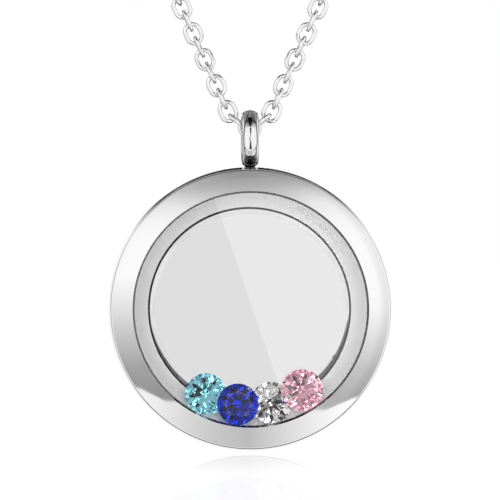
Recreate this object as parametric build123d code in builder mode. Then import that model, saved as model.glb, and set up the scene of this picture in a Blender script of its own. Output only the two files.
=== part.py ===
from build123d import *
from math import asin, copysign, cos, degrees, pi, radians, sin, sqrt, tan
import os

# A round floating locket on a cable chain, in millimetres. The origin is at the nape, on the face
# of the clasp that lies against the neck. +Z is up, the locket faces -Y, and +X is to the right
# for someone who looks at it.
os.makedirs("parts", exist_ok=True)

# Locket, seen from the front
window_diameter = 25.0
lip_overhang = 0.22
lip_edge_radius = 0.16
bevel_rise = 1.25
bevel_crown = 0.03
bevel_edge_radius = 0.3
bezel_inset = 0.2
case_edge_radius = 0.1
rear_hole_diameter = 20.06
rear_hole_bevel = 0.53
rear_hole_bevel_depth = 0.16
rear_hole_bevel_crown = 0.012
flange_groove_width = 0.2
flange_groove_depth = 0.12
flange_edge_radius = 0.08
rear_edge_bevel = 0.8

# Locket, from the front lip to the rear rim
lip_height = 0.6
front_glass_thickness = 0.9
flange_thickness = 0.8
back_glass_thickness = 0.8
rear_rim_height = 0.2

# Glass discs and how far they are held under their rims
front_glass_overlap = 0.5
back_glass_overlap = 1.2
glass_edge_bevel = 0.08
glass_gap = 0.05

# Screw joint between the lid and the case
spigot_wall = 1.0
thread_gap = 0.1
skirt_wall = 1.2
thread_pitch = 0.8
thread_turns = 2
thread_left_engaged = 0.2
spigot_top_gap = 0.1
seam_gap = 0.05

# Loose cut stones, with their proportions as shares of the diameter
stone_diameter = 4.4
crown_share = 0.15
girdle_share = 0.03
pavilion_share = 0.43
table_share = 0.57
star_slope = 22.0
upper_girdle_slope = 41.5
lower_girdle_slope = 42.2
stone_layer_share = 0.3
stone_spacing_share = 0.8
stone_gap = 0.15
stone_row_turn = 2.5
facet_count = 8

# Each loose stone: its name, its place along the row, if it is in the rear layer, and its own turn
stones = (
    ("stone_aqua", -1.5, True, 8.0),
    ("stone_blue", -0.5, False, 20.0),
    ("stone_clear", 0.5, True, 3.0),
    ("stone_pink", 1.5, False, 31.0),
)

# Bail ring, let into the rim a little and soldered to it, with a fine groove near each edge
bail_inner_diameter = 4.5
bail_wall = 0.82
bail_width = 1.78
bail_groove_spacing = 1.28
bail_groove_radius = 0.06
bail_rim_bite = 0.06
bail_forward_shift = 0.5
solder_width = 0.7
solder_depth = 1.0
solder_bite = 0.3

# Cable chain
link_length = 2.55
link_width = 2.04
wire_diameter = 0.45
link_play = 0.15
bail_play = 0.1
first_link_rise = 38.0
strand_lean = 24.0
links_each_side = 10
chain_end_gap = 0.1
clasp_gap = 0.25

# Clasp at the nape
clasp_length = 10.4
clasp_thickness = 2.0
clasp_head_radius = 2.5
clasp_tail_radius = 1.15
clasp_head_hole_radius = 1.5
clasp_tail_hole_radius = 0.6
clasp_edge_radius = 0.3

# The chain's route: its lowest link, then the corners on the +X side from the front to the nape
loop_depth = 107.0
loop_drop = 152.0
first_corner_run = 28.0
side_route = [
    (35.0, -93.5, -72.0),
    (50.0, -72.0, -40.0),
    (58.0, -44.0, -19.5),
    (50.0, -15.5, -8.0),
    (28.0, -1.0, -2.0),
]
corner_share = 0.45

# Sizes that follow
cavity_radius = window_diameter / 2
rear_hole_radius = rear_hole_diameter / 2
stone_radius = stone_diameter / 2
girdle_height = girdle_share * stone_diameter
crown_height = crown_share * stone_diameter
pavilion_height = pavilion_share * stone_diameter
stone_height = crown_height + girdle_height + pavilion_height
layer_step = stone_layer_share * stone_diameter
cavity_depth = stone_height + layer_step + 2 * stone_gap
locket_thickness = (
    lip_height
    + front_glass_thickness
    + cavity_depth
    + flange_thickness
    + back_glass_thickness
    + rear_rim_height
)
thread_travel = thread_pitch * thread_turns
spigot_height = thread_travel + thread_left_engaged

# Depths behind the locket's middle plane, from the front to the rear
front_face = -locket_thickness / 2
front_glass_face = front_face + lip_height
cavity_front = front_glass_face + front_glass_thickness
spigot_top = cavity_front + spigot_top_gap
seam = spigot_top + spigot_height
cavity_rear = cavity_front + cavity_depth
back_glass_face = cavity_rear + flange_thickness
rear_rim = locket_thickness / 2

# Radii of the glass discs and of the screw joint
front_glass_radius = cavity_radius + front_glass_overlap
back_glass_radius = rear_hole_radius + back_glass_overlap
spigot_radius = cavity_radius + spigot_wall
skirt_radius = spigot_radius + thread_gap
bezel_radius = skirt_radius + skirt_wall
locket_radius = bezel_radius + bezel_inset
lip_rear_radius = cavity_radius - lip_overhang

# The bail hangs on the upper wire of the lowest link, and the locket hangs on the bail
lowest_link = Vector(0, -loop_depth, -loop_drop)
bail_middle_radius = (bail_inner_diameter + bail_wall) / 2
bail_outer_radius = bail_inner_diameter / 2 + bail_wall
bail_groove_height = bail_wall / 2 * sqrt(1 - (bail_groove_spacing / bail_width) ** 2)
bail_drop = bail_inner_diameter / 2 - link_width / 2 - bail_play
bail_centre = lowest_link - Vector(0, 0, bail_drop)
locket_drop = bail_outer_radius - bail_rim_bite + locket_radius
locket_centre = bail_centre + Vector(0, -bail_forward_shift, -locket_drop)
swing_axis_point = lowest_link + Vector(0, 0, (link_width - wire_diameter) / 2)

# Profiles of the round pieces: local x is the radius, local y is the depth
profile_plane = Plane(origin=locket_centre, x_dir=(1, 0, 0), z_dir=(0, 0, 1))
locket_axis = Axis(locket_centre, (0, 1, 0))


def crown_point(start, end, crown):
    """The middle of a crowned bevel, which stands off the straight line from start to end."""
    way = (end - start).normalized()
    return (start + end) / 2 + Vector(way.Y, -way.X) * crown


# Case: the steel ring that holds the stones, with its spigot, the soldered bail and its rear flange,
# where a fine groove and a crowned bevel run round the hole
hole_edge = Vector(rear_hole_radius, cavity_rear + rear_hole_bevel_depth)
groove_inner = Vector(rear_hole_radius + rear_hole_bevel, cavity_rear)
groove_outer = groove_inner + Vector(flange_groove_width, 0)
with BuildPart() as case:
    with BuildSketch(profile_plane):
        with BuildLine():
            ThreePointArc(
                hole_edge, crown_point(hole_edge, groove_inner, rear_hole_bevel_crown), groove_inner
            )
            Polyline(
                groove_inner,
                groove_inner + Vector(0, flange_groove_depth),
                groove_outer + Vector(0, flange_groove_depth),
                groove_outer,
                (cavity_radius, cavity_rear),
                (cavity_radius, spigot_top),
                (spigot_radius, spigot_top),
                (spigot_radius, seam),
                (locket_radius, seam),
                (locket_radius, rear_rim - rear_edge_bevel),
                (locket_radius - rear_edge_bevel, rear_rim),
                (back_glass_radius + glass_gap, rear_rim),
                (back_glass_radius + glass_gap, back_glass_face),
                (rear_hole_radius, back_glass_face),
                hole_edge,
            )
        section = make_face()
        fillet(section.vertices().sort_by_distance(groove_outer)[0], flange_edge_radius)
        fillet(section.vertices().sort_by_distance((locket_radius, seam))[0], case_edge_radius)
    revolve(axis=locket_axis)

    # The bail is a ring of oval section whose hole looks along X
    bail_section = Plane(origin=bail_centre, x_dir=(1, 0, 0), z_dir=(0, 1, 0))
    with BuildSketch(bail_section):
        with Locations((0, bail_middle_radius)):
            Ellipse(bail_width / 2, bail_wall / 2)
            with Locations((-bail_groove_spacing / 2, bail_groove_height)):
                Circle(bail_groove_radius, mode=Mode.SUBTRACT)
            with Locations((bail_groove_spacing / 2, bail_groove_height)):
                Circle(bail_groove_radius, mode=Mode.SUBTRACT)
    revolve(axis=Axis(bail_centre, (1, 0, 0)))

    # A neck of solder joins it to the top of the rim
    solder_base = bail_centre - Vector(0, 0, bail_outer_radius - bail_rim_bite + solder_bite)
    with BuildSketch(Plane(origin=solder_base, x_dir=(1, 0, 0), z_dir=(0, 0, 1))):
        Ellipse(solder_width / 2, solder_depth / 2)
    extrude(amount=2 * solder_bite)
case.part.label = "case"
export_step(case.part, "parts/case.step")


# Bezel: the steel ring of the screw lid, with its wide crowned bevel, a lip that slopes down to the
# glass, and its threaded skirt
bevel_inner = Vector(cavity_radius, front_face)
bevel_outer = Vector(bezel_radius, front_face + bevel_rise)
with BuildPart() as bezel:
    with BuildSketch(profile_plane):
        with BuildLine():
            ThreePointArc(bevel_inner, crown_point(bevel_inner, bevel_outer, bevel_crown), bevel_outer)
            Polyline(
                bevel_outer,
                (bezel_radius, seam - seam_gap),
                (skirt_radius, seam - seam_gap),
                (skirt_radius, cavity_front),
                (front_glass_radius + glass_gap, cavity_front),
                (front_glass_radius + glass_gap, front_glass_face),
                (lip_rear_radius, front_glass_face),
                bevel_inner,
            )
        section = make_face()
        fillet(section.vertices().sort_by_distance(bevel_outer)[0], bevel_edge_radius)
        fillet(section.vertices().sort_by_distance(bevel_inner)[0], lip_edge_radius)
    revolve(axis=locket_axis)
bezel.part.label = "bezel"
export_step(bezel.part, "parts/bezel.step")


# Front glass: the clear disc that the lid's lip holds
front_plane = Plane(
    origin=locket_centre + Vector(0, front_glass_face, 0), x_dir=(1, 0, 0), z_dir=(0, -1, 0)
)
with BuildPart() as front_glass:
    with BuildSketch(front_plane):
        Circle(front_glass_radius)
    extrude(amount=-front_glass_thickness)
    chamfer(front_glass.edges(), glass_edge_bevel)
front_glass.part.label = "front_glass"
export_step(front_glass.part, "parts/front_glass.step")


# Back glass: the clear disc that is let into the rear of the case
back_plane = Plane(
    origin=locket_centre + Vector(0, back_glass_face, 0), x_dir=(1, 0, 0), z_dir=(0, -1, 0)
)
with BuildPart() as back_glass:
    with BuildSketch(back_plane):
        Circle(back_glass_radius)
    extrude(amount=-back_glass_thickness)
    chamfer(back_glass.edges(), glass_edge_bevel)
back_glass.part.label = "back_glass"
export_step(back_glass.part, "parts/back_glass.step")


def facet_plane(turn, radius, height, slope):
    """The plane of a facet through one point, leaning by slope from the table or the culet."""
    outwards = Vector(cos(radians(turn)), sin(radians(turn)), 0)
    point = outwards * radius + Vector(0, 0, height)
    facing = outwards * sin(radians(slope)) + Vector(0, 0, copysign(cos(radians(slope)), height))
    return Plane(origin=point, z_dir=facing)


# Round brilliant, cut from a round blank: its table is up and its girdle is centred on the origin
facet_turn = 360 / facet_count
table_radius = table_share * stone_radius
table_height = girdle_height / 2 + crown_height
culet_depth = girdle_height / 2 + pavilion_height
main_slope = degrees(asin(crown_height / Vector(stone_radius - table_radius, crown_height).length))
pavilion_slope = degrees(asin(pavilion_height / Vector(stone_radius, pavilion_height).length))
star_radius = table_radius * cos(radians(facet_turn / 2))
half_radius = stone_radius * cos(radians(facet_turn / 4))
with BuildPart() as brilliant:
    Cylinder(stone_radius, 2 * culet_depth)
    split(bisect_by=Plane.XY.offset(table_height), keep=Keep.BOTTOM)
    for facet in range(facet_count):
        turn = facet * facet_turn
        facets = [
            facet_plane(turn, stone_radius, girdle_height / 2, main_slope),
            facet_plane(turn + facet_turn / 2, star_radius, table_height, star_slope),
            facet_plane(turn, stone_radius, -girdle_height / 2, pavilion_slope),
        ]
        for side in (-1, 1):
            half_turn = turn + side * facet_turn / 4
            facets.append(facet_plane(half_turn, half_radius, girdle_height / 2, upper_girdle_slope))
            facets.append(facet_plane(half_turn, half_radius, -girdle_height / 2, lower_girdle_slope))
        for plane in facets:
            split(bisect_by=plane, keep=Keep.BOTTOM)


# The four stones lie on the cavity's wall in a row, in two layers that overlap like shingles
row_radius = cavity_radius - stone_radius - stone_gap
row_step = 2 * degrees(asin(stone_spacing_share * stone_radius / row_radius))
front_layer = cavity_front + stone_gap + table_height
for stone_name, place, in_rear_layer, own_turn in stones:
    row_angle = radians(stone_row_turn + place * row_step)
    depth = front_layer + (layer_step if in_rear_layer else 0)
    stone_centre = locket_centre + Vector(
        row_radius * sin(row_angle), depth, -row_radius * cos(row_angle)
    )
    stone_plane = Plane(origin=stone_centre, x_dir=(1, 0, 0), z_dir=(0, -1, 0))
    with BuildPart() as stone:
        with Locations(stone_plane.location * Rotation(0, 0, own_turn)):
            add(brilliant.part)
    stone.part.label = stone_name
    export_step(stone.part, f"parts/{stone_name}.step")


# One cable link: half of it is swept, and its other half is the mirror image
link_bend = (link_width - wire_diameter) / 2
link_straight = (link_length - link_width) / 2
with BuildPart() as link:
    with BuildLine() as half_link:
        Line((0, -link_bend), (link_straight, -link_bend))
        CenterArc((link_straight, 0), link_bend, -90, 180)
        Line((link_straight, link_bend), (0, link_bend))
    with BuildSketch(Plane(origin=(0, -link_bend, 0), z_dir=(1, 0, 0))):
        Circle(wire_diameter / 2)
    sweep(path=half_link.line)
    mirror(about=Plane.YZ)


def link_place(centre, along, edge_on):
    """The place of a link with its length along one direction, face or edge to the front."""
    front = Vector(0, -1, 0)
    across = front.cross(along)
    return Plane(origin=centre, x_dir=along, z_dir=across if edge_on else front)


# Front of the chain: separate links that pass through each other and through the bail.
# A link seen face on holds its neighbour's end inside its own bend, so the arm of that joint
# starts at the centre of the bend. A link seen edge on has its wire's middle at its tip.
link_pitch = link_length - 2 * wire_diameter - link_play
joint_arm = link_bend - wire_diameter - link_play
face_arm = link_straight
edge_arm = link_straight + link_bend
strand_ends = {}
link_places = [link_place(lowest_link, Vector(1, 0, 0), False)]
for side in (-1, 1):
    centre = lowest_link
    along = Vector(side, 0, 0)
    for index in range(1, links_each_side + 1):
        edge_on = index % 2 == 1
        rise = radians(first_link_rise if index == 1 else 90 - strand_lean)
        next_along = Vector(side * cos(rise), 0, sin(rise))
        pull = (along + next_along).normalized()
        near_arm, far_arm = (face_arm, edge_arm) if edge_on else (edge_arm, face_arm)
        centre = centre + along * near_arm + pull * joint_arm + next_along * far_arm
        along = next_along
        link_places.append(link_place(centre, along, edge_on))
    strand_ends[side] = centre + along * (link_length / 2 + chain_end_gap)
with BuildPart() as chain_front:
    with Locations(*link_places):
        add(link.part)
chain_front.part.label = "chain_front"
export_step(chain_front.part, "parts/chain_front.step")


def corner_radii(points):
    """The arc of each corner, as large as its two runs allow."""
    radii = []
    for before, corner, after in zip(points, points[1:], points[2:]):
        run_in = corner - before
        run_out = after - corner
        half_turn = radians(run_in.get_angle(run_out)) / 2
        radii.append(corner_share * min(run_in.length, run_out.length) / tan(half_turn))
    return radii


# The rest of the chain, as one smooth round on each side of the neck
side_names = {-1: "chain_left", 1: "chain_right"}
for side, side_name in side_names.items():
    strand_up = Vector(side * sin(radians(strand_lean)), 0, cos(radians(strand_lean)))
    nape_end = Vector(side * (clasp_length / 2 + clasp_gap), clasp_thickness / 2, 0)
    route = [
        strand_ends[side],
        strand_ends[side] + strand_up * first_corner_run,
        *[Vector(side * x, y, z) for x, y, z in side_route],
        nape_end,
    ]
    radii = corner_radii(route)
    with BuildPart() as chain_side:
        with BuildLine() as round_path:
            FilletPolyline(*route, radius=radii)
        with BuildSketch(Plane(origin=round_path.line @ 0, z_dir=round_path.line % 0)):
            Circle(link_width / 2)
        sweep(path=round_path.line)
    chain_side.part.label = side_name
    export_step(chain_side.part, f"parts/{side_name}.step")
    side_length = sum(edge.length for edge in round_path.edges())
    section_area = pi * (link_width / 2) ** 2
    print(side_name, "corner radii", [round(radius, 1) for radius in radii])
    print(side_name, "length", round(side_length, 2), "volume", round(chain_side.part.volume, 1))
    print(side_name, "section by length", round(section_area * side_length, 1))


# Clasp: one plain piece at the nape with a large eye at one end and a small eye at the other
head_place = clasp_length / 2 - clasp_head_radius
tail_place = clasp_length / 2 - clasp_tail_radius
clasp_plane = Plane(origin=(0, clasp_thickness, 0), x_dir=(1, 0, 0), z_dir=(0, -1, 0))
with BuildPart() as clasp:
    with BuildSketch(clasp_plane):
        with BuildSketch(mode=Mode.PRIVATE) as discs:
            with Locations((head_place, 0)):
                Circle(clasp_head_radius)
            with Locations((-tail_place, 0)):
                Circle(clasp_tail_radius)
        make_hull(discs.sketch.edges())
    extrude(amount=clasp_thickness)
    fillet(clasp.edges(), clasp_edge_radius)
    with BuildSketch(clasp_plane):
        with Locations((head_place, 0)):
            Circle(clasp_head_hole_radius)
        with Locations((-tail_place, 0)):
            Circle(clasp_tail_hole_radius)
    extrude(amount=clasp_thickness, mode=Mode.SUBTRACT)
clasp.part.label = "clasp"
export_step(clasp.part, "parts/clasp.step")

front_length = (2 * links_each_side + 1) * link_pitch
loop_length = 2 * side_length + front_length + clasp_length
print("whole loop with the clasp", round(loop_length, 1))
print("locket thickness", round(locket_thickness, 3), "cavity depth", round(cavity_depth, 3))
print("locket centre", locket_centre, "swing axis", swing_axis_point)
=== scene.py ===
import math

import bpy
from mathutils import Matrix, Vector


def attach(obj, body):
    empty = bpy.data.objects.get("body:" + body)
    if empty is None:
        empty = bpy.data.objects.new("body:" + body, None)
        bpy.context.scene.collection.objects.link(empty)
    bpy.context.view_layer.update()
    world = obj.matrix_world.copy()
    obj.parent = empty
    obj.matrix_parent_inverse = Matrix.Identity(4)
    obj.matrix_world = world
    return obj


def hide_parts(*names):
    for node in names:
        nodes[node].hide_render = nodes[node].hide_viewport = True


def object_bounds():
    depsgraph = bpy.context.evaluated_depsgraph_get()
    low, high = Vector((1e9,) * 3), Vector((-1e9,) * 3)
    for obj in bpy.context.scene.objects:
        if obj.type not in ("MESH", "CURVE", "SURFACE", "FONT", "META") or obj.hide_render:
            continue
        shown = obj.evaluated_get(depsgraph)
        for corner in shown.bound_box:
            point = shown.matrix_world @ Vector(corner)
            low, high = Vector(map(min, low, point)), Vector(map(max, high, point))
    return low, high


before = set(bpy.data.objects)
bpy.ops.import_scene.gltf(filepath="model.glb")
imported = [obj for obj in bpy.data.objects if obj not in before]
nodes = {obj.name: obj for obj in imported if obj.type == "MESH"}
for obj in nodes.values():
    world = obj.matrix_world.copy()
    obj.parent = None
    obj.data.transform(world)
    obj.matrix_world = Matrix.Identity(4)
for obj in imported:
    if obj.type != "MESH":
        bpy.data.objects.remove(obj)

cad_low, cad_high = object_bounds()
MM = 0.001


# Case: the ring of polished stainless steel that holds the stones, turned from one bar, with the
# bail ring soldered on its top. Its rear flange, which shows round the window, is lathe-brushed
# to a satin with fine concentric lines. Its outer rim is rounded over.
class Value:
    """A number on its way through a shader: arithmetic on it adds Math nodes."""

    def __init__(self, socket):
        self.socket = socket

    def math(self, operation, *others):
        tree = self.socket.id_data
        maths = tree.nodes.new("ShaderNodeMath")
        maths.operation = operation
        for slot, value in enumerate((self, *others)):
            feed(tree, maths.inputs[slot], value)
        return Value(maths.outputs[0])

    def __add__(self, other):
        return self.math("ADD", other)

    def __sub__(self, other):
        return self.math("SUBTRACT", other)

    def __rsub__(self, other):
        return (self * -1) + other

    def __mul__(self, other):
        return self.math("MULTIPLY", other)

    def __pow__(self, other):
        return self.math("POWER", other)

    __radd__ = __add__
    __rmul__ = __mul__

    def band(self, low, high):
        """0 below low, 1 above high, with a smooth step between them."""
        step = self.socket.id_data.nodes.new("ShaderNodeMapRange")
        step.interpolation_type = "SMOOTHSTEP"
        step.clamp = True
        for name, value in (("Value", self), ("From Min", low), ("From Max", high)):
            feed(self.socket.id_data, step.inputs[name], value)
        return Value(step.outputs["Result"])


def feed(tree, socket, value):
    """Links a socket, or sets it where the value is a plain one."""
    if isinstance(value, Value):
        value = value.socket
    if isinstance(value, bpy.types.NodeSocket):
        tree.links.new(value, socket)
    else:
        socket.default_value = value


class Shader:
    """A node tree, with one method that adds any node to it."""

    def __init__(self, owner):
        owner.use_nodes = True
        self.tree = owner.node_tree
        self.tree.nodes.clear()

    def add(self, kind, settings=(), out=0, **inputs):
        made = self.tree.nodes.new(kind)
        for name, setting in dict(settings).items():
            if name == "stops":
                for stop in made.color_ramp.elements[1:]:
                    made.color_ramp.elements.remove(stop)
                made.color_ramp.elements[0].position = setting[0][0]
                for place, level in setting[1:]:
                    made.color_ramp.elements.new(place)
                for stop, (place, level) in zip(made.color_ramp.elements, setting):
                    stop.color = (level, level, level, 1)
            else:
                setattr(made, name, setting)
        for name, value in inputs.items():
            feed(self.tree, made.inputs[name.replace("_", " ")], value)
        return Value(made.outputs[out])

    def end(self, surface, kind="ShaderNodeOutputMaterial", volume=None):
        finish = self.tree.nodes.new(kind)
        feed(self.tree, finish.inputs["Surface"], surface)
        if volume:
            feed(self.tree, finish.inputs["Volume"], volume)


# Radii and heights are from the locket's own middle
locket_centre = Vector((0, -107.5, -171.14)) * MM
groove_inner, groove_outer = 10.55 * MM, 10.77 * MM
flange_inner, flange_outer = 10.74 * MM, 12.49 * MM
flange_depth = 1.95 * MM
rim_inner, rim_outer = 14.79 * MM, 15.05 * MM
rim_fall = 0.85
bail_height = 18.01 * MM
bail_line_reach = 0.72 * MM
bail_line_bow = 0.27 / 1.95 ** 2 / MM
solder_top = 16.2 * MM
paint_edge = 0.03 * MM
fine_edge = 0.02 * MM
brush_spacing = 0.11 * MM
brush_depth = 0.004 * MM
steel_colour = (0.80, 0.80, 0.805, 1)
# Painted light and shade: the satin flange is coloured darker on its left and lighter on its right
satin_painted_shade_colour = (0.82, 0.82, 0.825, 1)
satin_painted_light_colour = (0.96, 0.96, 0.965, 1)
# Painted shade: near black where the rear hole's edge and the lid's lip meet the glass
painted_shade_colour = (0.03, 0.03, 0.03, 1)
# Painted reflection: the dark lines along the bail
painted_bail_reflection_colour = (0.2, 0.2, 0.2, 1)
# Painted shade: the dark foot of the bail where it meets the rim
painted_solder_shade_colour = (0.1, 0.1, 0.1, 1)


def locket_place(shader):
    """Coordinates round the locket's own middle: x, the depth, z, and the radius from its axis."""
    place = shader.add("ShaderNodeTexCoord", out="Object")
    centred = shader.add("ShaderNodeMapping", Vector=place, Location=-locket_centre)
    parts = shader.add("ShaderNodeSeparateXYZ", Vector=centred).socket.node
    across, depth, up = (Value(socket) for socket in parts.outputs)
    return centred, across, depth, up, (across * across + up * up).math("SQRT")


def dress(name, material):
    """Gives a part of the necklace its finish."""
    slots = nodes[name].material_slots
    for slot in slots:
        slot.material = material


case_steel = bpy.data.materials.new("case_steel")
shader = Shader(case_steel)
centred, across, depth, up, radius = locket_place(shader)
on_flange = radius.band(flange_inner, flange_inner + 2 * fine_edge)
on_flange = on_flange * (flange_outer - radius).band(0, paint_edge)
on_flange = on_flange * depth.band(flange_depth, flange_depth + paint_edge)
on_flange = on_flange * (flange_depth + 0.11 * MM - depth).band(0, fine_edge)
# Painted shade: a near-black ring round the edge of the rear hole, behind the flange
painted_groove_shade = radius.band(groove_inner, groove_inner + fine_edge)
painted_groove_shade = painted_groove_shade * (groove_outer - radius).band(0, fine_edge)
painted_groove_shade = painted_groove_shade * depth.band(flange_depth, flange_depth + paint_edge)
painted_groove_shade = painted_groove_shade * (flange_depth + 0.25 * MM - depth).band(0, fine_edge)

# The brushed lines waver a little, and the polish is a little cloudy
grain = shader.add("ShaderNodeTexNoise", Vector=centred, Scale=900.0, Detail=4.0, out="Fac")
cloud = shader.add("ShaderNodeTexNoise", Vector=centred, Scale=160.0, Detail=2.0, out="Fac")
rings = (radius * (2 * math.pi / brush_spacing) + grain * 5.0).math("SINE")
lines = rings * on_flange * brush_depth
brushed = shader.add("ShaderNodeBump", Strength=0.35, Distance=1.0, Height=lines)
rounding = radius.math("MAXIMUM", rim_inner).math("MINIMUM", rim_outer) * -rim_fall
rounded = shader.add("ShaderNodeBump", Strength=1.0, Distance=1.0, Height=rounding, Normal=brushed)

# Two fine dark lines of painted reflection bow along the bail, and painted shade darkens the foot of
# the bail at its solder
from_bail = up - bail_height
line_place = bail_line_reach - from_bail * from_bail * bail_line_bow
off_line = (across.math("ABSOLUTE") - line_place).math("ABSOLUTE")
# Painted reflection: two dark curved lines down the bail's front
painted_bail_reflection = (0.09 * MM - off_line).band(0, 0.06 * MM)
painted_bail_reflection = painted_bail_reflection * up.band(solder_top - 0.2 * MM, solder_top + 0.2 * MM)
# Painted shade: the bail's foot above the rim is coloured near black
painted_solder_shade = up.band(rim_outer - 0.1 * MM, rim_outer - 0.05 * MM) * (solder_top - up).band(0, 0.3 * MM)
painted_solder_shade = painted_solder_shade * (0.7 * MM - across.math("ABSOLUTE")).band(0, 0.2 * MM)


def painted(under, factor, over):
    """The under colour with the over colour where the factor is 1."""
    return shader.add("ShaderNodeMix", {"data_type": "RGBA"}, out=2, Factor=factor, A=under, B=over)


# Painted light and shade: the satin flange darkens towards its left and lightens towards its right, as
# light falls across it
painted_side_light = across.band(-13 * MM, 13 * MM)
steel = painted(steel_colour, on_flange, painted(satin_painted_shade_colour, painted_side_light, satin_painted_light_colour))
steel = painted(steel, painted_groove_shade, painted_shade_colour)
steel = painted(steel, painted_bail_reflection, painted_bail_reflection_colour)
steel = painted(steel, painted_solder_shade, painted_solder_shade_colour)
shader.end(shader.add(
    "ShaderNodeBsdfPrincipled", Base_Color=steel, Metallic=1.0,
    Roughness=on_flange * 0.26 + cloud * 0.03 + 0.045, Normal=rounded,
))
dress("case", case_steel)


# Back glass: the clear disc let into the rear of the case. Front glass: the thicker disc under the
# lip of the lid. Both are flat, ground and polished. Only the back one mirrors the room, faintly,
# so that the stones show clearly through the front one.
for disc, shine in (("front_glass", 0.0), ("back_glass", 0.6)):
    clear_glass = bpy.data.materials.new(disc)
    shader = Shader(clear_glass)
    shader.end(shader.add(
        "ShaderNodeBsdfPrincipled", Base_Color=(0.952, 0.952, 0.952, 1), Roughness=0.0,
        IOR=1.5, Transmission_Weight=1.0, Specular_IOR_Level=shine,
    ))
    dress(disc, clear_glass)


# Stones: four loose round brilliants of coloured glass and clear zirconia.
# They are cut with a table, eight main facets and smaller ones round them, and lie loose.
stone_colours = {
    # the colour that its dye lets through, the dye's strength per metre, its index and its shine
    "stone_aqua": ((0.0, 0.87, 0.99, 1), 210.0, 1.62, 0.2),
    "stone_blue": ((0.0, 0.50, 0.91, 1), 1400.0, 1.77, 0.08),
    "stone_clear": ((0.0, 0.0, 0.0, 1), 30.0, 2.15, 0.3),
    "stone_pink": ((1.0, 0.0, 0.34, 1), 155.0, 1.62, 0.2),
}
for stone, (colour, dye, index, shine) in stone_colours.items():
    cut_glass = bpy.data.materials.new(stone)
    shader = Shader(cut_glass)
    clear = shader.add(
        "ShaderNodeBsdfPrincipled", Base_Color=(1, 1, 1, 1), Roughness=0.0, IOR=index,
        Transmission_Weight=1.0, Specular_IOR_Level=shine,
    )
    dyed = shader.add("ShaderNodeVolumeAbsorption", Color=colour, Density=dye)
    shader.end(clear, volume=dyed)
    dress(stone, cut_glass)


# Bezel: the ring of the screw lid, turned from stainless steel, with a wide bevel that is
# buffed to a mirror.
lip_radius = 12.5 * MM
bezel_steel = bpy.data.materials.new("bezel_steel")
shader = Shader(bezel_steel)
centred, across, depth, up, radius = locket_place(shader)
cloud = shader.add("ShaderNodeTexNoise", Vector=centred, Scale=160.0, Detail=2.0, out="Fac")
# Painted shade: the lip is coloured near black where the front glass meets it
painted_lip_shade = (lip_radius - radius).band(0, paint_edge)
darkened = painted((0.86, 0.86, 0.865, 1), painted_lip_shade, painted_shade_colour)
shader.end(shader.add(
    "ShaderNodeBsdfPrincipled", Base_Color=darkened, Metallic=1.0, Roughness=cloud * 0.03 + 0.03,
))
dress("bezel", bezel_steel)


# Chain: a cable chain of about 326 oval links of round steel wire, each turned a quarter from the
# last and soldered shut. Its lowest link lies flat in the bail, and both strands rise from it.
link_length = 2.55 * MM
link_width = 2.04 * MM
wire_diameter = 0.45 * MM
link_play = 0.15 * MM
chain_end_gap = 0.1 * MM
first_link_rise = 38.0
strand_lean = 24.0
links_each_side = 10
lowest_link = Vector((0.0, -107.0, -152.0)) * MM
first_corner_run = 28.0 * MM
side_route = [
    (35.0, -93.5, -72.0),
    (50.0, -72.0, -40.0),
    (58.0, -44.0, -19.5),
    (50.0, -15.5, -8.0),
    (28.0, -1.0, -2.0),
]
nape_end = (5.45, 1.0, 0.0)
link_bend = (link_width - wire_diameter) / 2
link_straight = (link_length - link_width) / 2
link_pitch = link_length - 2 * wire_diameter - link_play
joint_arm = link_bend - wire_diameter - link_play
neck_middle = Vector((0, -50, 0)) * MM
front = Vector((0, -1, 0))

# Each link's centre, the way it runs, the way its broad side looks, and if it is seen close to
link_rows = [(lowest_link, Vector((1, 0, 0)), front, True)]
for side in (-1, 1):
    centre = lowest_link
    along = Vector((side, 0, 0))
    for index in range(1, links_each_side + 1):
        edge_on = index % 2 == 1
        rise = math.radians(first_link_rise if index == 1 else 90 - strand_lean)
        next_along = Vector((side * math.cos(rise), 0, math.sin(rise)))
        pull = (along + next_along).normalized()
        arms = (link_straight, link_straight + link_bend)
        near_arm, far_arm = arms if edge_on else arms[::-1]
        centre = centre + along * near_arm + pull * joint_arm + next_along * far_arm
        along = next_along
        looks = front.cross(along) if edge_on else front
        link_rows.append((centre, along, looks, True))
    strand_end = centre + along * (link_length / 2 + chain_end_gap)
    corners = [strand_end, strand_end + along * first_corner_run]
    corners += [Vector((side * x, y, z)) * MM for x, y, z in [*side_route, nape_end]]
    line = bpy.data.curves.new("route", "CURVE")
    line.dimensions = "3D"
    line.resolution_u = 64
    spline = line.splines.new("NURBS")
    spline.points.add(len(corners) - 1)
    for point, corner in zip(spline.points, corners):
        point.co = (*corner, 1)
    spline.order_u = 3
    spline.use_endpoint_u = True
    holder = bpy.data.objects.new("route", line)
    read = [vertex.co.copy() for vertex in bpy.data.meshes.new_from_object(holder).vertices]
    bpy.data.objects.remove(holder)
    travelled = 0.0
    target = link_pitch - link_length / 2 - chain_end_gap
    index = links_each_side
    for here, there in zip(read, read[1:]):
        step = (there - here).length
        while travelled + step >= target:
            index += 1
            centre = here.lerp(there, (target - travelled) / step)
            along = (there - here).normalized()
            outwards = centre - neck_middle
            outwards.z = 0
            outwards = (outwards - along * outwards.dot(along)).normalized()
            looks = along.cross(outwards) if index % 2 == 1 else outwards
            link_rows.append((centre, along, looks, False))
            target += link_pitch
        travelled += step

link_points = bpy.data.meshes.new("link_points")
link_points.from_pydata([row[0] for row in link_rows], [], [])
for name, column in (("along", 1), ("looks", 2)):
    stored = link_points.attributes.new(name, "FLOAT_VECTOR", "POINT")
    for item, row in zip(stored.data, link_rows):
        item.vector = row[column]
stored = link_points.attributes.new("near", "INT", "POINT")
for item, row in zip(stored.data, link_rows):
    item.value = int(row[3])

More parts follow.
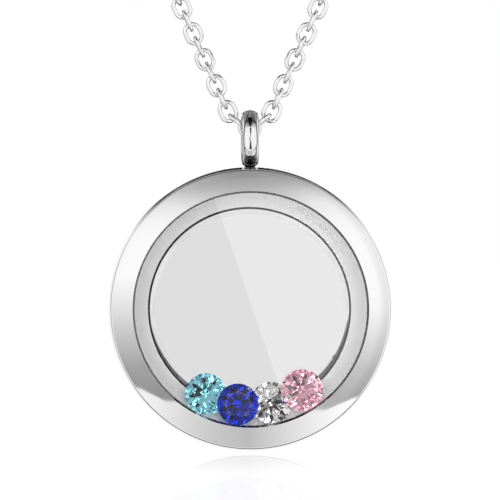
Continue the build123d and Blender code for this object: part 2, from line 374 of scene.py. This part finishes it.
chain_steel = bpy.data.materials.new("chain_steel")
shader = Shader(chain_steel)
place = shader.add("ShaderNodeTexCoord", out="Object")
cloud = shader.add("ShaderNodeTexNoise", Vector=place, Scale=400.0, Detail=2.0, out="Fac")
shader.end(shader.add(
    "ShaderNodeBsdfPrincipled", Base_Color=(0.86, 0.86, 0.865, 1), Metallic=1.0,
    Roughness=cloud * 0.05 + 0.05,
))

tree = bpy.data.node_groups.new("cable_links", "GeometryNodeTree")
face = tree.interface
face.new_socket("Geometry", in_out="INPUT", socket_type="NodeSocketGeometry")
face.new_socket("Geometry", in_out="OUTPUT", socket_type="NodeSocketGeometry")
link_inputs = {
    "Link Length": ("NodeSocketFloat", link_length),
    "Link Width": ("NodeSocketFloat", link_width),
    "Wire Diameter": ("NodeSocketFloat", wire_diameter),
    "Near Bend Steps": ("NodeSocketInt", 6),
    "Near Wire Sides": ("NodeSocketInt", 14),
    "Far Bend Steps": ("NodeSocketInt", 2),
    "Far Wire Sides": ("NodeSocketInt", 8),
    "Loose Roll": ("NodeSocketFloat", math.radians(7)),
    "Seed": ("NodeSocketInt", 4),
    "Steel": ("NodeSocketMaterial", chain_steel),
}
for name, (kind, value) in link_inputs.items():
    face.new_socket(name, in_out="INPUT", socket_type=kind)


def grow(kind, settings=(), **inputs):
    """Adds a node to the chain's tree, with its settings first and then its inputs."""
    made = tree.nodes.new(kind)
    for name, setting in dict(settings).items():
        setattr(made, name, setting)
    for name, value in inputs.items():
        feed(tree, made.inputs[name.replace("_", " ")], value)
    return made


given = grow("NodeGroupInput").outputs
links = []
for detail in ("Near", "Far"):
    length = Value(given["Link Length"]) - given["Wire Diameter"]
    width = Value(given["Link Width"]) - given["Wire Diameter"]
    square = grow("GeometryNodeCurvePrimitiveQuadrilateral", Width=length, Height=width)
    rounded = grow(
        "GeometryNodeFilletCurve", {"mode": "POLY"}, Curve=square.outputs[0],
        Radius=width * 0.4999, Count=given[detail + " Bend Steps"],
    )
    wire = grow(
        "GeometryNodeCurvePrimitiveCircle", Resolution=given[detail + " Wire Sides"],
        Radius=Value(given["Wire Diameter"]) * 0.5,
    )
    swept = grow(
        "GeometryNodeCurveToMesh", Curve=rounded.outputs[0], Profile_Curve=wire.outputs[0]
    )
    merged = grow("GeometryNodeMergeByDistance", Geometry=swept.outputs[0], Distance=0.0002 * MM)
    smooth = grow("GeometryNodeSetShadeSmooth", Geometry=merged.outputs[0])
    links.append(grow("GeometryNodeGeometryToInstance", Geometry=smooth.outputs[0]).outputs[0])
near_and_far = tree.nodes.new("GeometryNodeJoinGeometry")
for link in reversed(links):
    tree.links.new(link, near_and_far.inputs[0])


def stored_on_points(name, kind):
    """Reads a value that the link points carry."""
    read = grow("GeometryNodeInputNamedAttribute", {"data_type": kind}, Name=name)
    return next(socket for socket in read.outputs if socket.enabled)


turned = grow(
    "FunctionNodeAlignRotationToVector", {"axis": "X"}, Vector=stored_on_points("along", "FLOAT_VECTOR")
).outputs[0]
turned = grow(
    "FunctionNodeAlignRotationToVector", {"axis": "Z", "pivot_axis": "X"}, Rotation=turned,
    Vector=stored_on_points("looks", "FLOAT_VECTOR"),
).outputs[0]
loose = grow("FunctionNodeRandomValue", {"data_type": "FLOAT"}, Seed=given["Seed"])
roll_range = [socket for socket in loose.inputs if socket.enabled and socket.name in ("Min", "Max")]
feed(tree, roll_range[0], Value(given["Loose Roll"]) * -1)
feed(tree, roll_range[1], given["Loose Roll"])
roll = next(socket for socket in loose.outputs if socket.enabled)
roll_turn = grow(
    "FunctionNodeAxisAngleToRotation", Axis=(1, 0, 0), Angle=roll
).outputs[0]
turned = grow(
    "FunctionNodeRotateRotation", {"rotation_space": "LOCAL"}, Rotation=turned, Rotate_By=roll_turn
).outputs[0]
hung = grow(
    "GeometryNodeInstanceOnPoints", Points=given["Geometry"], Instance=near_and_far.outputs[0],
    Pick_Instance=True, Instance_Index=Value(stored_on_points("near", "INT")) * -1 + 1,
    Rotation=turned,
)
real = grow("GeometryNodeRealizeInstances", Geometry=hung.outputs[0])
steel = grow("GeometryNodeSetMaterial", Geometry=real.outputs[0], Material=given["Steel"])
out = grow("NodeGroupOutput", Geometry=steel.outputs[0])

holder = bpy.data.objects.new("links", link_points)
bpy.context.scene.collection.objects.link(holder)
modifier = holder.modifiers.new("links", "NODES")
modifier.node_group = tree
for item in face.items_tree:
    if item.in_out == "INPUT" and item.name in link_inputs:
        modifier[item.identifier] = link_inputs[item.name][1]
bpy.context.view_layer.update()
evaluated = holder.evaluated_get(bpy.context.evaluated_depsgraph_get())
link_mesh = bpy.data.meshes.new_from_object(evaluated)
bpy.data.objects.remove(holder)
link_mesh.name = "cable_chain"
for name in [a.name for a in link_mesh.attributes if a.name in ("along", "looks", "near")]:
    link_mesh.attributes.remove(link_mesh.attributes[name])
chain = bpy.data.objects.new("cable_chain", link_mesh)
bpy.context.scene.collection.objects.link(chain)
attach(chain, "necklace")
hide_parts("chain_front", "chain_left", "chain_right")


# Clasp: the plain steel piece at the nape, stamped and tumbled smooth.
dress("clasp", chain_steel)


# Studio: a plain white table top under the locket that mirrors it softly, and a white room round
# it whose dark ceiling and table edge draw the shapes of the polished metal.
floor_gap = 0.13 * MM
floor_reach = 2.0
floor_light = 1.1
mirror_near, mirror_far = 0.42, 0.15
mirror_fades_from, mirror_fades_to = 0.01, 0.11


def stand(name, points, faces, material):
    """Puts a piece of the studio in place, which isn't a part of the necklace."""
    mesh = bpy.data.meshes.new(name)
    mesh.from_pydata(points, [], faces)
    mesh.materials.append(material)
    piece = bpy.data.objects.new(name, mesh)
    bpy.context.scene.collection.objects.link(piece)
    piece.visible_transmission = False
    return piece


table_top = bpy.data.materials.new("table_top")
shader = Shader(table_top)
white = shader.add("ShaderNodeEmission", Color=(1, 1, 1, 1), Strength=floor_light)
gloss = shader.add("ShaderNodeBsdfGlossy", Color=(1, 1, 1, 1), Roughness=0.03)
mixed = shader.tree.nodes.new("ShaderNodeMixShader")
place = shader.add("ShaderNodeTexCoord", out="Object")
away = Value(shader.add("ShaderNodeSeparateXYZ", Vector=place).socket.node.outputs[1])
away = (away - locket_centre.y).math("ABSOLUTE").band(mirror_fades_from, mirror_fades_to)
feed(shader.tree, mixed.inputs[0], mirror_near - away * (mirror_near - mirror_far))
feed(shader.tree, mixed.inputs[1], white)
feed(shader.tree, mixed.inputs[2], gloss)
shader.end(Value(mixed.outputs[0]))
floor_corners = [
    (x * floor_reach, y * floor_reach, cad_low.z - floor_gap)
    for x, y in ((-1, -1), (1, -1), (1, 1), (-1, 1))
]
floor = stand("floor", floor_corners, [(0, 1, 2, 3)], table_top)
floor.visible_glossy = False

# A curved black card over the bail, wider at its top, which the bail mirrors as a wedge
card_reach = 12 * MM
card_steps = 8
card_from, card_to = math.radians(45), math.radians(85)
card_half_widths = (0.9 * MM, 2.26 * MM)
bail_middle = locket_centre + Vector((0, 0, bail_height))
card_points = []
for step in range(card_steps + 1):
    share = step / card_steps
    angle = card_from + (card_to - card_from) * share
    half_width = card_half_widths[0] + (card_half_widths[1] - card_half_widths[0]) * share
    arm = Vector((0, -math.cos(angle), math.sin(angle))) * card_reach
    card_points += [bail_middle + arm + Vector((x, 0, 0)) for x in (-half_width, half_width)]
card_faces = [(2 * step, 2 * step + 1, 2 * step + 3, 2 * step + 2) for step in range(card_steps)]
black_paper = bpy.data.materials.new("black_paper")
shader = Shader(black_paper)
shader.end(shader.add("ShaderNodeBsdfDiffuse", Color=(0.01, 0.01, 0.01, 1)))
black_card = stand("black_card", card_points, card_faces, black_paper)
black_card.visible_camera = False
black_card.visible_shadow = False

# The room: right, front and up are the parts of the direction that a ray looks in
studio = bpy.data.worlds.new("studio")
bpy.context.scene.world = studio
shader = Shader(studio)
look = shader.add("ShaderNodeTexCoord", out="Generated")
parts = shader.add("ShaderNodeSeparateXYZ", Vector=look).socket.node
right, back, up = (Value(socket) for socket in parts.outputs)
front = back * -1


def blend(factor, low, high):
    """low where the factor is 0 and high where it is 1."""
    return low + factor * (high - low)


def ramp(value, *stops):
    """The level at each stop, and a straight blend between two."""
    return shader.add("ShaderNodeValToRGB", {"stops": stops}, Fac=value)


def near(value, middle, reach, soft):
    """1 where the value is within reach of the middle, and 0 past a soft edge."""
    return 1 - (value - middle).math("ABSOLUTE").band(reach, reach + soft)


# Straight ahead the room is white. A dark line in its middle is faint above and stops at the table
below = up * -1
line_up = near(right, 0.026, 0.025 + up * 0.07, 0.03)
line_up = line_up * up.band(0.03, 0.06) * (front - 0.68).band(0, 0.03)
white_room = blend(line_up, 1.0, blend(up.band(0.35, 0.45), 0.35, 0.04))
line_down = near(right, 0.026, below * 0.16 + 0.01, 0.03) * below.band(0.08, 0.12)
white_room = blend(line_down * (0.69 - below).band(0, 0.02), white_room, 0.04)

# A black panel hangs overhead, with dusk on both sides of it that is deeper level with the locket
side = right.math("ABSOLUTE")
level = (0.33 - front).band(0.0, 0.06)
ahead_dusk = ramp(side, (0.10, 0.10), (0.25, 0.18), (0.35, 0.35), (0.5, 0.65), (0.62, 1.0))
level_dusk = ramp(
    side, (0.10, 0.03), (0.25, 0.06), (0.4, 0.09), (0.5, 0.18), (0.56, 0.08), (0.64, 0.10), (0.75, 0.6)
)
high_up = (up + level * 0.18).band(0.70, 0.85) * (0.47 - front).band(0.0, 0.05)
white_room = blend(high_up, white_room, blend(level, ahead_dusk, level_dusk))
panel = near(right, 0.0, 0.18 - front * 0.16, 0.03) * high_up * front.band(-0.12, -0.08)
white_room = blend(panel, white_room, 0.02)

# The bevel sees a ring of the room. Its walls fade below the horizon, and the left is the darker
height = up * 0.5 + 0.5
left_wall = ramp(
    height, (0.21, 0.30), (0.30, 0.38), (0.40, 0.57), (0.50, 0.80), (0.60, 0.99), (0.66, 1.0)
)
right_wall = ramp(height, (0.21, 0.46), (0.30, 0.57), (0.40, 0.77), (0.50, 0.97), (0.60, 1.0))
walls = blend(right.band(-0.3, 0.3), left_wall, right_wall)
overhead = up - right * 0.03
ceiling = ramp(
    overhead, (0.45, 1.0), (0.58, 0.95), (0.67, 0.85), (0.72, 0.72), (0.76, 0.585), (0.80, 0.466),
    (0.823, 0.416), (0.843, 0.375), (0.863, 0.31), (0.883, 0.25), (0.95, 0.1),
)
ceiling = ceiling * ramp(front, (0.45, 0.8), (0.48, 0.86), (0.51, 0.98), (0.53, 1.0))

# The table in that ring has its edge at 45 degrees, and is darkest in the middle
table = ramp(
    right * 0.5 + 0.5, (0.18, 0.92), (0.3, 0.72), (0.4, 0.59), (0.5, 0.52), (0.6, 0.68),
    (0.7, 0.85), (0.8, 1.0),
)
on_table = (below - front * (right * 0.135 + 1.137)).band(-0.01, 0.02)
ring = blend(on_table, walls * ceiling, table)
in_ring = front.band(0.38, 0.43) * (0.67 - front).band(0.0, 0.03)
room_ahead = blend(in_ring, white_room, ring)

# Behind the locket the room is light at its sides, dark further back, and black low down
sides_room = blend(right.band(-0.3, 0.3), 0.6, 1.0)
sides_room = blend(up.band(0.2, 0.5), sides_room, ramp(side, (0.3, 0.2), (0.6, 0.5), (0.8, 0.9)))
grey_room = blend((front * -1).band(0.35, 0.55), sides_room, blend(up.band(0.4, 0.7), 0.14, 0.3))
grey_room = blend(below.band(0.5, 0.7), grey_room, 0.06)
backdrop = (front * -1).band(0.88, 0.95)
room_behind = blend(backdrop, grey_room, 1.0)
room = blend((0.08 - front).band(-0.04, 0.04), room_ahead, blend(panel, room_behind, 0.02))

# The glass mirrors the way to the camera, where a lit sheet with a straight edge stands
by_camera = front.band(0.990, 0.994)
sheet = (right + up * 0.345).band(0.02145, 0.02175)
lit = blend(sheet, 0.30, 1.0)
room = blend(by_camera, room, lit)


def lamps(fineness, contrast, brightness):
    """A dark room full of lamps, each of its own brightness."""
    cells = shader.add("ShaderNodeTexVoronoi", Vector=look, Scale=fineness, out="Color")
    return shader.add("ShaderNodeSeparateXYZ", Vector=cells) ** contrast * brightness


# Inside the locket the room looks white, but the bevel of the rear hole mirrors a dark arch, and
# the stones' facets mirror a dark room with bright lamps
dark_arch = (front + up * 0.2).band(0.892, 0.905) * (0.925 - front).band(0, 0.01)
dark_arch = dark_arch * up.band(0.02, 0.06)
inner_room = blend(dark_arch, blend(front.band(0.93, 0.96), 0.95, 1.22), 0.09)
inner_room = blend(by_camera, inner_room, lit)
facet_lamps = lamps(2.6, 10.0, 9.0)
inner_room = blend(near(front, 0.0, 0.66, 0.04), inner_room, facet_lamps)
inner_room = blend((front * -1).band(0.5, 0.6), inner_room, 0.80)

# Light that has gone through a stone comes from a dim room full of lamps
paths = shader.add("ShaderNodeLightPath").socket.node.outputs
lamp_room = lamps(4.0, 1.6, 3.6) + 0.02
passes = Value(paths["Transmission Depth"])
room = blend(passes.math("GREATER_THAN", 1.5), room, inner_room) * 1.12
room = blend(passes.math("GREATER_THAN", 5.5), room, lamp_room)
strength = blend(Value(paths["Is Camera Ray"]), room, 1.0)
background = shader.add("ShaderNodeBackground", Color=(1, 1, 1, 1), Strength=strength)
shader.end(background, "ShaderNodeOutputWorld")


# Camera: a long lens that looks straight at the locket, a little from its left and from above.
camera_turn = math.radians(-1.5)
camera_rise = math.radians(0.5)
camera_distance = 1.2
photo_pixels = 500
pixels_per_metre = 9450
aim_pixels_above_locket = 58.9
view_width = photo_pixels / pixels_per_metre
aim = locket_centre + Vector((0, 0, aim_pixels_above_locket / pixels_per_metre))
back_way = Vector((
    math.sin(camera_turn) * math.cos(camera_rise),
    -math.cos(camera_turn) * math.cos(camera_rise),
    math.sin(camera_rise),
))
lens = bpy.data.cameras.new("camera")
lens.lens = lens.sensor_width * camera_distance / view_width
lens.clip_start, lens.clip_end = 0.01, 10
camera = bpy.data.objects.new("camera", lens)
bpy.context.scene.collection.objects.link(camera)
camera.location = aim + back_way * camera_distance
camera.rotation_mode = "QUATERNION"
camera.rotation_quaternion = (-back_way).to_track_quat("-Z", "Y")
bpy.context.scene.camera = camera
bpy.context.scene.view_settings.view_transform = "Standard"
